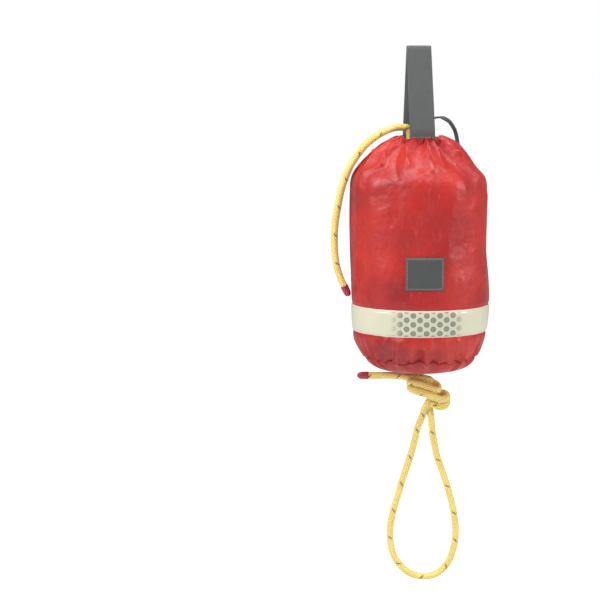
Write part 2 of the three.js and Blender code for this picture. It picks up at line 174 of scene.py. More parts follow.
def rope_piece(name, path, material, flecked=True, sides=44, cap_start=True, cap_end=True, start_at=0.0):
    """A braided rope: two families of strands cross over and under, with tracer flecks in the braid."""
    angles = np.linspace(0, 2 * np.pi, sides, endpoint=False)[None, :]
    along = start_at + lengths_along(path)[:, None]
    turn = 2 * np.pi * along / BRAID_LEAD
    right = BRAID_STRANDS * (angles + turn) / 2
    left = BRAID_STRANDS * (angles - turn) / 2
    strand_right = np.abs(np.cos(right))
    strand_left = np.abs(np.cos(left))
    over = np.sin(right * 2) * np.sin(left * 2) > 0
    height = np.where(over, strand_right, strand_left) ** 0.7 * np.maximum(strand_right, strand_left) ** 0.3
    radius = ROPE_D / 2 + BRAID_RELIEF * (height - 0.75)
    fleck = np.zeros_like(height)
    if flecked:
        number = np.round(along / FLECK_SPACING)
        centre = number * FLECK_SPACING
        where = number * np.pi
        apart = (angles - where + np.pi) % (2 * np.pi) - np.pi
        around = apart * ROPE_D / 2
        x = along - centre + FLECK_SLANT * around
        fleck = np.exp(-((x / FLECK_LONG) ** 4) - ((around / FLECK_WIDE) ** 4))
    points = tube_points(path, radius, sides, cap_start, cap_end)
    before = 5 if cap_start else 0
    after = 5 if cap_end else 0
    pad = ((before, after), (0, 0))
    height, fleck = (np.pad(values, pad, mode="edge") for values in (height, fleck))
    rows = len(points)
    faces = grid_faces(rows, sides)
    v = np.pad(along[:, 0], pad[0], mode="edge")
    u = np.linspace(0, 1, sides)
    uv = np.stack(np.broadcast_arrays(u[None, :], v[:, None]), axis=-1).reshape(-1, 2)
    # the braid's height is also kept for the colour: painted shade where the braid sinks between strands, a
    # painted highlight on its crests
    colours = {"braid_shading": height.ravel(), "fleck": fleck.ravel()}
    return make_mesh(name, points.reshape(-1, 3), faces, material, uv, colours)


def sleeve_piece(name, path, radius, material):
    """A heat-shrunk sleeve over a rope's end: a tapered tube with a rounded lip and a closed face."""
    share = np.linspace(0, 1, len(path))
    swell = 1 + 0.05 * np.sin(share * 9) * (1 - share) - 0.10 * share ** 6
    swell[0] *= 0.93
    angles = np.linspace(0, 2 * np.pi, 32, endpoint=False)
    lumps = 1 + 0.02 * np.sin(3 * angles + 1)[None, :] * share[:, None]
    points = tube_points(path, radius * swell[:, None] * lumps, 32, True, True)
    return make_mesh(name, points.reshape(-1, 3), grid_faces(len(points), 32), material)


# ---------------------------------------------------------------- materials
def linear(r, g, b):
    shares = [c / 255 for c in (r, g, b)]
    return tuple(((c + 0.055) / 1.055) ** 2.4 if c > 10 / 255 else c / 12.92 for c in shares) + (1,)


class Nodes:
    """A material's node tree, with short calls for the nodes that the materials share."""

    def __init__(self, name, **sockets):
        self.material = bpy.data.materials.new(name)
        self.material.use_nodes = True
        self.tree = self.material.node_tree
        self.shader = self.tree.nodes["Principled BSDF"]
        for key, value in sockets.items():
            self.shader.inputs[key.replace("_", " ")].default_value = value
        self.place = self.new("ShaderNodeTexCoord")

    def new(self, kind, **values):
        node = self.tree.nodes.new(kind)
        for key, value in values.items():
            setattr(node, key, value)
        return node

    def link(self, start, end):
        self.tree.links.new(start, end)

    def noise(self, scale, detail=3.0, coordinates=None, stretch=(1, 1, 1), rough=0.5):
        mapping = self.new("ShaderNodeMapping")
        mapping.inputs["Scale"].default_value = stretch
        self.link(coordinates or self.place.outputs["Object"], mapping.inputs["Vector"])
        node = self.new("ShaderNodeTexNoise")
        node.inputs["Scale"].default_value = scale
        node.inputs["Detail"].default_value = detail
        node.inputs["Roughness"].default_value = rough
        self.link(mapping.outputs["Vector"], node.inputs["Vector"])
        return node.outputs["Fac"]

    def wave(self, scale, axis, coordinates=None, profile="SIN", distortion=0.0):
        node = self.new("ShaderNodeTexWave", bands_direction=axis, wave_profile=profile)
        node.inputs["Scale"].default_value = scale
        node.inputs["Distortion"].default_value = distortion
        self.link(coordinates or self.place.outputs["Object"], node.inputs["Vector"])
        return node.outputs["Fac"]

    def uv(self):
        return self.new("ShaderNodeUVMap", uv_map="Weave").outputs["UV"]

    def attribute(self, name):
        return self.new("ShaderNodeAttribute", attribute_name=name).outputs["Fac"]

    def ramp(self, value, *stops):
        node = self.new("ShaderNodeValToRGB")
        elements = node.color_ramp.elements
        while len(elements) < len(stops):
            elements.new(0.5)
        for element, (position, colour) in zip(elements, stops):
            element.position = position
            element.color = colour if isinstance(colour, tuple) else (colour, colour, colour, 1)
        self.link(value, node.inputs["Fac"])
        return node.outputs["Color"]

    def mix(self, factor, a, b, blend="MIX"):
        node = self.new("ShaderNodeMix", data_type="RGBA", blend_type=blend)
        colours = [s for s in node.inputs if s.type == "RGBA"]
        pairs = ((node.inputs[0], factor), (colours[0], a), (colours[1], b))
        for socket, value in pairs:
            if isinstance(value, (tuple, float, int)):
                socket.default_value = value
            else:
                self.link(value, socket)
        return [s for s in node.outputs if s.type == "RGBA"][0]

    def math(self, operation, a, b=0.0):
        node = self.new("ShaderNodeMath", operation=operation)
        for socket, value in zip(node.inputs, (a, b)):
            if isinstance(value, (float, int)):
                socket.default_value = value
            else:
                self.link(value, socket)
        return node.outputs[0]

    def bump(self, height, strength, distance, below=None):
        node = self.new("ShaderNodeBump")
        node.inputs["Strength"].default_value = strength
        node.inputs["Distance"].default_value = distance
        self.link(height, node.inputs["Height"])
        if below is not None:
            self.link(below, node.inputs["Normal"])
        return node.outputs["Normal"]

    def done(self, colour=None, rough=None, normal=None):
        for value, socket in ((colour, "Base Color"), (rough, "Roughness"), (normal, "Normal")):
            if value is not None:
                self.link(value, self.shader.inputs[socket])
        return self.material


def nylon(name, bright, deep):
    """Coated pack cloth: a fine plain weave under a coating that crinkles and scuffs."""
    n = Nodes(name, Specular_IOR_Level=0.5, Sheen_Weight=0.04)
    broad = n.noise(14, 4, rough=0.6)
    crinkle = n.noise(85, 5, rough=0.62)
    colour = n.mix(n.ramp(broad, (0.32, 0.0), (0.68, 1.0)), deep, bright)
    scuff = n.ramp(n.noise(260, 4, stretch=(1, 1, 0.3)), (0.60, 0.0), (0.78, 1.0))
    colour = n.mix(n.math("MULTIPLY", scuff, 0.14), colour, linear(238, 140, 128))
    threads = n.math("MULTIPLY", n.wave(520, "X", n.uv()), n.wave(520, "Y", n.uv()))
    normal = n.bump(n.noise(34, 3, rough=0.5), 0.7, 6 * MM)
    normal = n.bump(crinkle, 0.35, 0.9 * MM, normal)
    normal = n.bump(threads, 0.10, 0.1 * MM, normal)
    return n.done(colour, n.ramp(crinkle, (0.3, 0.36), (0.7, 0.52)), normal)


def webbing(name, light, dark, rib=330):
    """Woven polyester webbing: ribs along its length, weft across it, and paler patches at random."""
    n = Nodes(name, Sheen_Weight=0.25, Specular_IOR_Level=0.25)
    ribs = n.wave(rib, "X", n.uv(), distortion=0.4)
    weft = n.wave(rib * 0.8, "Y", n.uv(), distortion=0.6)
    weave = n.math("ADD", n.math("MULTIPLY", ribs, 0.6), n.math("MULTIPLY", weft, 0.4))
    colour = n.mix(n.ramp(weave, (0.15, 0.0), (0.85, 1.0)), dark, light)
    colour = n.mix(n.math("MULTIPLY", n.noise(60, 4), 0.25), colour, light)
    return n.done(colour, n.ramp(n.noise(200, 2), (0.3, 0.72), (0.7, 0.9)), n.bump(weave, 0.45, 0.35 * MM))


def rope_material(name):
    """Braided polypropylene: pale and slightly shiny strands, painted shade darkening the gaps between them
    and a painted highlight on their crests, dark tracer flecks.
    """
    n = Nodes(name, Specular_IOR_Level=0.4, Sheen_Weight=0.15)
    # painted shade and highlight: the colour darkens where the braid sinks between strands and pales on its
    # crests
    braid_shading = n.attribute("braid_shading")
    colour = n.ramp(braid_shading, (0.25, linear(196, 148, 66)), (0.62, linear(238, 208, 104)),
                    (1.0, linear(248, 230, 144)))
    patches = n.ramp(n.noise(45, 3), (0.35, 0.0), (0.7, 1.0))
    colour = n.mix(n.math("MULTIPLY", patches, 0.35), colour, linear(250, 238, 172))
    colour = n.mix(n.attribute("fleck"), colour, linear(112, 62, 32))
    fibres = n.noise(900, 3, n.uv(), stretch=(30, 1, 1))
    return n.done(colour, n.ramp(fibres, (0.3, 0.5), (0.7, 0.7)), n.bump(fibres, 0.2, 0.12 * MM))


def tip_material(name):
    """Heat-shrink sleeve: glossy crimson plastic with faint rings."""
    n = Nodes(name, Coat_Weight=0.3, Coat_Roughness=0.15)
    mottled = n.noise(300, 3)
    colour = n.mix(mottled, linear(142, 28, 52), linear(182, 48, 74))
    return n.done(colour, n.ramp(mottled, (0.3, 0.25), (0.7, 0.42)), n.bump(mottled, 0.2, 0.2 * MM))


DOT_PITCH = 7.3 * MM
DOT_FADE = (-32 * MM, -20 * MM, 38 * MM, 50 * MM)


def reflective_tape(name):
    """Cream retroreflective tape with a woven edge. Grey cells stand in a hexagonal lattice."""
    n = Nodes(name, Specular_IOR_Level=0.6, Coat_Weight=0.25, Coat_Roughness=0.25)
    cells = n.attribute("cells")
    cream = n.mix(n.noise(30, 3), linear(206, 208, 180), linear(222, 218, 194))
    colour = n.mix(n.ramp(cells, (0.0, 0.0), (1.0, 0.95)), cream, linear(98, 103, 94))
    colour = n.mix(n.attribute("edge"), colour, linear(240, 208, 190))
    return n.done(colour, n.ramp(cells, (0.0, 0.30), (1.0, 0.45)), n.bump(cells, 0.25, 0.2 * MM))


def label_material(name):
    """Woven label: tight grey weave with a paler folded border."""
    n = Nodes(name, Sheen_Weight=0.2, Specular_IOR_Level=0.3)
    weave = n.math("MULTIPLY", n.wave(420, "X", n.uv()), n.wave(420, "Y", n.uv()))
    colour = n.mix(weave, linear(66, 70, 68), linear(86, 90, 88))
    colour = n.mix(n.attribute("edge"), colour, linear(104, 98, 95))
    return n.done(colour, n.ramp(n.noise(150, 3), (0.3, 0.6), (0.7, 0.8)), n.bump(weave, 0.3, 0.15 * MM))


def thread_material(name, colour):
    n = Nodes(name, Sheen_Weight=0.2)
    twist = n.noise(1500, 2, stretch=(1, 1, 2))
    pale = tuple(min(1, c * 1.35) for c in colour[:3]) + (1,)
    return n.done(n.mix(twist, colour, pale), n.ramp(twist, (0.3, 0.55), (0.7, 0.75)),
                  n.bump(twist, 0.3, 0.1 * MM))


def moulded(name, colour):
    """Moulded acetal: fine spark texture and slightly polished high spots."""
    n = Nodes(name, Specular_IOR_Level=0.45)
    grain = n.noise(900, 3)
    pale = tuple(c * 1.6 + 0.01 for c in colour[:3]) + (1,)
    return n.done(n.mix(n.noise(120, 3), colour, pale), n.ramp(grain, (0.3, 0.42), (0.7, 0.6)),
                  n.bump(grain, 0.25, 0.15 * MM))


def metal(name, colour, dark):
    """Plated metal with rolled-in scratches and tarnish."""
    n = Nodes(name, Metallic=1.0)
    tarnish = n.ramp(n.noise(140, 4), (0.4, 0.0), (0.75, 1.0))
    scratches = n.noise(700, 3, stretch=(1, 6, 1))
    return n.done(n.mix(tarnish, colour, dark), n.ramp(scratches, (0.3, 0.22), (0.7, 0.45)),
                  n.bump(scratches, 0.12, 0.1 * MM))


def foam_material(name):
    """Closed-cell foam: dark, matt and finely pitted."""
    n = Nodes(name, Specular_IOR_Level=0.2)
    pits = n.noise(1100, 3)
    return n.done(n.mix(n.noise(60, 3), linear(46, 48, 50), linear(66, 68, 70)),
                  n.ramp(pits, (0.3, 0.8), (0.7, 0.95)), n.bump(pits, 0.5, 0.3 * MM))


RED = nylon("red_nylon", linear(200, 43, 30), linear(152, 20, 26))
HEM_RED = nylon("hem_nylon", linear(194, 44, 38), linear(158, 24, 28))
GREY_WEB = webbing("grey_webbing", linear(102, 105, 104), linear(66, 69, 68))
TAPE_WEB = webbing("drawcord_tape", linear(104, 108, 108), linear(66, 70, 71), 900)
ROPE = rope_material("floating_rope")
TIP = tip_material("heat_shrink")
TAPE = reflective_tape("reflective_tape")
LABEL = label_material("woven_label")
RED_THREAD = thread_material("red_thread", linear(176, 44, 44))
GREY_THREAD = thread_material("grey_thread", linear(142, 145, 143))
CREAM_THREAD = thread_material("cream_thread", linear(214, 176, 164))
BLACK_PLASTIC = moulded("lock_plastic", linear(40, 42, 43))
BRASS = metal("plated_brass", linear(190, 170, 120), linear(120, 104, 70))
STEEL = metal("spring_steel", linear(190, 190, 192), linear(120, 120, 122))
FOAM = foam_material("float_foam")


# ---------------------------------------------------------------- bag surface
MOUTH_Z, SHOULDER_Z, SEAM_Z, BASE_Z = -99, -148, -346, -362
BAND_TOP_Z, BAND_H = -284.5, 30
HALF, DEPTH_RATIO = 77, 0.87
NECK_X = 4
SHOULDER_H = MOUTH_Z - SHOULDER_Z
# Half width, height and sideways drift of the bag's outline, from inside the mouth to the base.
OUTLINE = [
    (22, MOUTH_Z - 16, 1), (22, MOUTH_Z - 8, 1), (22.5, MOUTH_Z - 1.5, 1), (24, MOUTH_Z + 0.8, 1),
    (27.5, MOUTH_Z + 0.2, 1),
    (HALF * 0.52, MOUTH_Z - SHOULDER_H * 0.07, 0.5), (HALF * 0.72, MOUTH_Z - SHOULDER_H * 0.36, -2),
    (HALF * 0.87, MOUTH_Z - SHOULDER_H * 0.67, -2.5), (HALF * 0.975, SHOULDER_Z + 4, 0),
    (HALF, SHOULDER_Z - 14, 1), (HALF * 0.992, (SHOULDER_Z + BAND_TOP_Z) / 2, 1),
    (HALF, BAND_TOP_Z + 4, 3.6), (HALF * 0.972, BAND_TOP_Z - BAND_H, 3),
    (HALF * 0.945, BAND_TOP_Z - BAND_H - 12, 2.6), (HALF * 0.82, SEAM_Z, 4),
    (HALF * 0.67, SEAM_Z + (BASE_Z - SEAM_Z) * 0.62, 4.5),
    (HALF * 0.42, SEAM_Z + (BASE_Z - SEAM_Z) * 0.93, 4),
    (HALF * 0.16, BASE_Z, NECK_X), (6, BASE_Z, NECK_X),
]
PROFILE = smooth_path([(a, x, z) for a, z, x in OUTLINE], 0.25 * MM) / MM
LIP_ROW = int(np.argmax(PROFILE[:, 2]))
PROFILE_LENGTH = lengths_along(PROFILE)
_rise = np.gradient(PROFILE, axis=0)
_rise /= np.hypot(_rise[:, 0], _rise[:, 2])[:, None]
NORMAL_A, NORMAL_Z = -_rise[:, 2], _rise[:, 0]


def length_at(z):
    """How far down the profile, from its start inside the mouth, the outer surface is at height z."""
    below = LIP_ROW + int(np.argmax(PROFILE[LIP_ROW:, 2] <= z))
    return PROFILE_LENGTH[below]


LIP_LENGTH = PROFILE_LENGTH[LIP_ROW]
BAND_LOW_LENGTH = length_at(BAND_TOP_Z - BAND_H)
BAND_HIGH_LENGTH = length_at(BAND_TOP_Z)
SEAM_LENGTH = length_at(SEAM_Z)
LIP_RAISE = 2.5


def folds(phase, sharp, seed):
    """A row of folds, from 0 on their crests to -1 between them, and each fold's own random share."""
    number = np.floor(phase / (2 * np.pi))
    share = 0.5 + 0.5 * np.sin(number * 12.9898 + seed)
    share = (share * 7.13) % 1
    return -np.abs(np.sin(phase / 2)) ** sharp, share


def wander(angle, *terms):
    return sum(size * np.sin(count * angle + start) for size, count, start in terms)


def fade(value, full, none):
    share = np.clip((value - full) / (none - full), 0, 1)
    return 1 - share * share * (3 - 2 * share)


def seam_shift(angle):
    """The base seam wanders up and down as it is puckered."""
    return wander(angle, (1.0, 5, 0.3), (0.8, 13, 1.2), (0.7, 29, 0.4))


def wrinkles(angle, s):
    """How far the cloth stands off the outline, in mm, at an angle round the bag and a length down it."""
    past_lip = s - LIP_LENGTH
    drift = wander(angle, (0.9, 2, 0.4), (0.7, 3, 1.9), (0.5, 5, 0.8))
    crest, share = folds(19 * angle + 2.2 * drift - 3.0, 0.75, 0.3)
    gathers = (2.4 + 4.2 * share) * fade(past_lip, 2, 38 + 50 * share) * crest
    crest, share = folds(7 * angle + 1.4 * drift - 1.9, 1.1, 1.9)
    deep = (3.0 + 5.0 * share) * fade(np.abs(past_lip - 34), 4, 50) * crest
    crest, share = folds(43 * angle + 3 * drift, 1.0, 4.1)
    fine = (0.7 + 1.2 * share) * fade(past_lip, -10, 30) * crest
    middle = (LIP_LENGTH + BAND_HIGH_LENGTH) / 2
    body = wander(angle, (1.1, 4, 0.3), (0.7, 7, 1.1)) * np.sin(s / 31 + 1.7 * np.sin(angle))
    body = body * fade(np.abs(s - middle), 60, 120)
    crest, share = folds(13 * angle + 1.2 * drift + s / 40, 1.6, 2.7)
    drapes = (0.4 + 1.6 * share) * fade(np.abs(s - middle - 10), 20, 95) * crest
    pinch = -0.9 * sum(np.exp(-((s - edge) / 2.6) ** 2) for edge in (BAND_HIGH_LENGTH, BAND_LOW_LENGTH))
    below = s - SEAM_LENGTH - seam_shift(angle)
    crest, share = folds(27 * angle + 3.4 * drift, 0.85, 5.2)
    reach = np.where(below < 0, fade(-below, 0, 15 + 30 * share), fade(below, 0, 12 + 20 * share))
    puckers = (1.0 + 4.2 * share) * reach * crest
    crest, share = folds(61 * angle + 2 * drift, 1.0, 0.7)
    puckers = puckers + (0.4 + 0.9 * share) * fade(np.abs(below), 0, 9) * crest
    seam = -2.0 * np.exp(-((below) / 1.5) ** 2)
    return gathers + deep + fine + body + drapes + pinch + puckers + seam + creases(angle, s)


# Single creases on the front: x and z of both ends, height (below 0 for a furrow) and half width, in mm
CREASES = [
    (-29, -100, -50, -113, 3.0, 3.2), (-50, -113, -70, -134, 2.6, 3.2), (-17, -99, -37, -111, 2.8, 3.0),
    (-37, -111, -43, -124, 2.4, 3.0), (-43, -124, -61, -136, 2.0, 3.2), (-26, -108, -25, -138, -2.6, 4.5),
    (-14, -100, -12, -124, 2.2, 4.0), (22, -99, 45, -115, 3.2, 4.5), (45, -115, 63, -140, 3.0, 5.5),
    (63, -140, 74, -162, 2.4, 5.0), (2, -135, 22, -128, 1.6, 4.5), (22, -128, 40, -135, 1.8, 4.5),
    (40, -135, 50, -157, 1.4, 5.0), (33, -103, 58, -124, -2.2, 3.5), (8, -102, 14, -118, -1.8, 4.0),
    (-66, -152, -46, -176, 1.0, 7.0), (55, -175, 62, -215, 1.0, 7.0), (30, -215, 52, -262, 0.8, 8.0),
    (-62, -228, -40, -262, 0.9, 7.0), (-10, -160, -22, -205, 0.8, 8.0), (-36, -318, -46, -344, 3.4, 4.0),
    (-20, -319, -24, -346, 3.6, 4.2), (-5, -324, -8, -347, 3.2, 3.6), (12, -321, 9, -346, 2.6, 3.6),
    (27, -323, 33, -346, 2.4, 3.2), (44, -320, 50, -342, 2.2, 3.2), (-28, -330, -31, -345, -2.0, 3.0),
    (2, -330, 1, -346, -2.0, 2.8),
]
ROUND_LENGTH = 62


def crease_lines():
    """The creases as lines on the unrolled cloth: angle and length of both ends, height, half width."""
    for x0, z0, x1, z1, height, width in CREASES:
        start, end = length_at(z0), length_at(z1)
        yield angle_at(x0, start), start, angle_at(x1, end), end, height, width


def creases(angle, s):
    total = 0
    for angle0, s0, angle1, s1, height, width in crease_lines():
        u = ((angle - angle0 + np.pi) % (2 * np.pi) - np.pi) * ROUND_LENGTH
        v = s - s0
        run, fall = (angle1 - angle0) * ROUND_LENGTH, s1 - s0
        share = np.clip((u * run + v * fall) / (run ** 2 + fall ** 2), 0, 1)
        apart = np.hypot(u - share * run, v - share * fall)
        total = total + height * np.exp(-(apart / width) ** 1.3)
    return total


def bag_points(angle, s, lift=0.0):
    """Points of the bag's cloth, in metres. lift raises a piece sewn on it, in mm."""
    a = np.interp(s, PROFILE_LENGTH, PROFILE[:, 0])
    x0 = np.interp(s, PROFILE_LENGTH, PROFILE[:, 1])
    z = np.interp(s, PROFILE_LENGTH, PROFILE[:, 2])
    na = np.interp(s, PROFILE_LENGTH, NORMAL_A)
    nz = np.interp(s, PROFILE_LENGTH, NORMAL_Z)
    off = wrinkles(angle, s) + lift
    z = z + LIP_RAISE * fade(np.abs(s - LIP_LENGTH), 2, 14)
    wide = a + na * off
    deep = a * DEPTH_RATIO + na * off
    return np.stack([x0 + wide * np.cos(angle), deep * np.sin(angle), z + nz * off], axis=-1) * MM


def angle_at(x, s, side=-1):
    """The angle whose point at length s has this x, on the front (-1) or the back (1)."""
    a = np.interp(s, PROFILE_LENGTH, PROFILE[:, 0])
    x0 = np.interp(s, PROFILE_LENGTH, PROFILE[:, 1])
    return side * np.arccos(np.clip((x - x0) / a, -1, 1))


def panel(name, start, end, rows, columns, material, lift=0.0):
    angles, lengths = np.meshgrid(np.linspace(0, 2 * np.pi, columns, endpoint=False),
                                  np.linspace(start, end, rows))
    points = bag_points(angles, lengths, lift)
    uv = np.stack([angles * HALF * MM, lengths * MM], axis=-1)
    faces = grid_faces(rows, columns)[:, ::-1]
    return make_mesh(name, points.reshape(-1, 3), faces, material, uv.reshape(-1, 2))


def make_bag():
    side = panel("bag_side", 0, SEAM_LENGTH, 300, 640, RED)
    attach(side, "bag")
    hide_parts("bag_side_panel")
    base = panel("bag_base", SEAM_LENGTH + 0.2, PROFILE_LENGTH[-1], 90, 560, RED)
    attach(base, "bag")
    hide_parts("bag_base_panel")
    hem = panel("mouth_hem_casing", 0.5, LIP_LENGTH - 1, 24, 400, HEM_RED, -1.2)
    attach(hem, "bag")
    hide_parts("mouth_hem")


def make_band():
    rows, columns = 56, 900
    angles, lengths = np.meshgrid(np.linspace(0, 2 * np.pi, columns, endpoint=False),
                                  np.linspace(BAND_HIGH_LENGTH, BAND_LOW_LENGTH, rows))
    rim = np.minimum(lengths - BAND_HIGH_LENGTH, BAND_LOW_LENGTH - lengths)
    lift = 0.15 + 0.55 * np.clip(rim / 0.8, 0, 1) ** 0.5 - 0.25 * np.exp(-((rim - 2.2) / 0.5) ** 2)
    points = bag_points(angles, lengths, lift)
    pitch = DOT_PITCH / MM
    x = points[..., 0] / MM
    column = np.round(x / pitch)
    nearest = np.full(x.shape, 1e9)
    for shift in (-1, 0, 1):
        c = column + shift
        row_pitch = pitch * 1.37
        across = x - c * pitch
        down = (lengths - BAND_HIGH_LENGTH) - (c % 2) * row_pitch / 2
        down = (down + row_pitch / 2) % row_pitch - row_pitch / 2
        nearest = np.minimum(nearest, np.hypot(across, down))
    ring = np.clip(0.55 * fade(nearest, 2.6, 3.5) + 0.45 * np.exp(-((nearest - 2.4) / 0.7) ** 2)
                   + 0.4 * np.exp(-(nearest / 1.1) ** 2), 0, 1)
    shown = np.interp(x, np.array(DOT_FADE) / MM, [0, 1, 1, 0])
    clear = np.clip((rim - 1.0) / 0.4, 0, 1)
    cells = (0.1 + 0.9 * ring) * shown * clear
    edge = fade(rim, 0.7, 1.7) * 0.8
    uv = np.stack([angles * HALF * MM, lengths * MM], axis=-1)
    faces = grid_faces(rows, columns)[:, ::-1]
    band = make_mesh("reflective_tape_band", points.reshape(-1, 3), faces, TAPE,
                     uv.reshape(-1, 2), {"cells": cells.ravel(), "edge": edge.ravel()})
    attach(band, "bag")
    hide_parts("reflective_band")


LABEL_W, LABEL_H, LABEL_X, LABEL_Z = 42, 36, 5, -244


def make_label():
    rows, columns = 70, 80
    top, bottom = length_at(LABEL_Z + LABEL_H / 2), length_at(LABEL_Z - LABEL_H / 2)
    xs, lengths = np.meshgrid(np.linspace(LABEL_X - LABEL_W / 2, LABEL_X + LABEL_W / 2, columns),
                              np.linspace(top, bottom, rows))
    rim = np.minimum(np.minimum(lengths - top, bottom - lengths),
                     np.minimum(xs - (LABEL_X - LABEL_W / 2), (LABEL_X + LABEL_W / 2) - xs))
    lift = 0.2 + 0.75 * np.clip(rim / 0.7, 0, 1) ** 0.5 - 0.3 * np.exp(-((rim - 2.0) / 0.5) ** 2)
    angles = angle_at(xs, lengths)
    points = bag_points(angles, lengths, lift)
    uv = np.stack([xs * MM, lengths * MM], axis=-1)
    edge = fade(np.abs(rim - 0.9), 0.4, 1.0) * 0.7
    label = make_mesh("label_blank", points.reshape(-1, 3), grid_faces(rows, columns, False), LABEL,
                      uv.reshape(-1, 2), {"edge": edge.ravel()})
    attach(label, "bag")
    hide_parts("label_patch")
    return top, bottom


def stitch_row(name, path, body, material, stitch=2.6, gap=1.1, thick=0.32):
    """A row of sewn stitches: short threads that dip into the cloth at each end."""
    along = lengths_along(path)
    pitch = (stitch + gap) * MM
    points, faces = [], []
    for k in range(int(along[-1] / pitch)):
        at = k * pitch + np.linspace(0, stitch * MM, 5)
        piece = np.column_stack([np.interp(at, along, path[:, c]) for c in range(3)])
        size = thick * MM * np.array([0.45, 0.95, 1.0, 0.95, 0.45])
        rings = tube_points(piece, size[:, None], 7, False, False, first=(0.3, 0.8, 0.5))
        faces.append(grid_faces(5, 7, first=len(points) * 35))
        points.append(rings.reshape(-1, 3))
    row = make_mesh(name, np.vstack(points), np.vstack(faces), material)
    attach(row, body)
    return row


def make_stitching(label_top, label_bottom):
    round_bag = np.linspace(0, 2 * np.pi, 2400)
    hem = 2.2
    for name, s in (("band_stitch_top", BAND_HIGH_LENGTH + hem),
                    ("band_stitch_bottom", BAND_LOW_LENGTH - hem)):
        row = stitch_row(name, bag_points(round_bag, np.full(2400, s), 0.62), "bag", CREAM_THREAD)
    for name, s in (("seam_stitch_side", SEAM_LENGTH - 4), ("mouth_stitch", LIP_LENGTH + 9)):
        row = stitch_row(name, bag_points(round_bag, np.full(2400, s), 0.1), "bag", RED_THREAD)
    inset = 2.0
    left, right = LABEL_X - LABEL_W / 2 + inset, LABEL_X + LABEL_W / 2 - inset
    high, low = label_top + inset, label_bottom - inset
    corners = [(left, high), (right, high), (right, low), (left, low), (left, high)]
    xs = np.concatenate([np.linspace(a[0], b[0], 60) for a, b in zip(corners, corners[1:])])
    lengths = np.concatenate([np.linspace(a[1], b[1], 60) for a, b in zip(corners, corners[1:])])
    path = bag_points(angle_at(xs, lengths), lengths, 0.85)
    row = stitch_row("label_stitch", path, "bag", GREY_THREAD, 2.0, 0.9, 0.24)
    lengths = np.linspace(LIP_LENGTH + 10, SEAM_LENGTH - 5, 1200)
    for name, turn in (("back_seam_stitch_a", 0.035), ("back_seam_stitch_b", -0.035)):
        row = stitch_row(name, bag_points(np.full(1200, BACK + turn), lengths, 0.15), "bag", RED_THREAD)


# ---------------------------------------------------------------- handle
WEBBING_W, WEBBING_T = 28, 1.8
TOP_FLAT, BEND_R = 7, 2
STRAP_SPREAD_FRONT, STRAP_SPREAD_BACK = 13, 12
STRAP_SHIFT_FRONT, STRAP_SHIFT_BACK = 4, -2.5
HINGE_Z, FLEX_TOP, SEWN_LOW = -97, -84, -110
BOX_TOP, BOX_LOW = -98.4, -109


def leg_path(side, spread, shift):
    """One leg of the strap from the middle of the fold to its sewn end: x, y and z of the inner face."""
    bend = [(0, side * (TOP_FLAT / 2 + BEND_R * math.sin(t)), -BEND_R + BEND_R * math.cos(t))
            for t in np.linspace(0, math.pi / 2, 8)[1:]]
    top = TOP_FLAT / 2 + BEND_R
    straight = [(shift * t, side * (top + (spread - top) * t), -BEND_R + (HINGE_Z + 5.2 + BEND_R) * t)
                for t in np.linspace(0, 1, 60)[1:]]
    sewn = [(shift, side * spread, z) for z in np.linspace(HINGE_Z + 4, SEWN_LOW, 12)]
    return [(0, side * 0.5, 0), (0, side * TOP_FLAT / 2, 0), *bend, *straight, *sewn]


def make_handle():
    front = leg_path(-1, STRAP_SPREAD_FRONT, STRAP_SHIFT_FRONT)[::-1]
    back = leg_path(1, STRAP_SPREAD_BACK, STRAP_SHIFT_BACK)
    line = np.array(front + back) * MM
    tangents = np.gradient(line, axis=0)
    tangents /= np.linalg.norm(tangents, axis=1)[:, None]
    across = np.array([1.0, 0, 0])
    outward = np.cross(across, tangents)
    outward /= np.linalg.norm(outward, axis=1)[:, None]
    if outward[len(front)][2] < 0:
        outward = -outward
    u = np.linspace(-1, 1, 25)
    bow = 0.12 * MM * (1 - u ** 2)
    half = WEBBING_W / 2 * MM
    edge = WEBBING_T / 2 * MM
    ring_x = np.concatenate([u * (half - edge * 0.6), [half], u[::-1] * (half - edge * 0.6), [-half]])
    ring_y = np.concatenate([2 * edge + bow - 2 * edge * 0.04, [edge], np.zeros(25), [edge]])
    along = lengths_along(line)
    share = np.clip(np.abs(line[:, 2]) / (97 * MM), 0, 1)
    narrow = 0.965 + 0.035 * share
    points = (line[:, None] + (ring_x[None, :] * narrow[:, None])[..., None] * across
              + ring_y[None, :, None] * outward[:, None])
    rows, columns = points.shape[:2]
    uv = np.stack(np.broadcast_arrays(ring_x[None, :], along[:, None]), axis=-1).reshape(-1, 2)
    faces = np.vstack([grid_faces(rows, columns)])
    caps = [list(range(columns)), [(rows - 1) * columns + k for k in range(columns)][::-1]]
    strap = make_mesh("handle_webbing", points.reshape(-1, 3), [*faces, *caps], GREY_WEB, uv)
    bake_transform(strap)
    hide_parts("handle_strap", "strap_end_front", "strap_end_back")
    half_w = WEBBING_W / 2 - 2.5
    for name, side, spread, shift in (("front", -1, STRAP_SPREAD_FRONT, STRAP_SHIFT_FRONT),
                                      ("back", 1, STRAP_SPREAD_BACK, STRAP_SHIFT_BACK)):
        y = side * (spread + WEBBING_T + 0.2)
        left, right = shift - half_w, shift + half_w
        corners = [(left, BOX_TOP), (right, BOX_TOP), (right, BOX_LOW), (left, BOX_LOW),
                   (left, BOX_TOP), (right, BOX_LOW)]
        box = np.vstack([np.linspace((a[0], y, a[1]), (b[0], y, b[1]), 40)
                         for a, b in zip(corners, corners[1:])]) * MM
        row = stitch_row(f"strap_stitch_{name}", box, "bag", GREY_THREAD, 2.0, 0.8, 0.28)


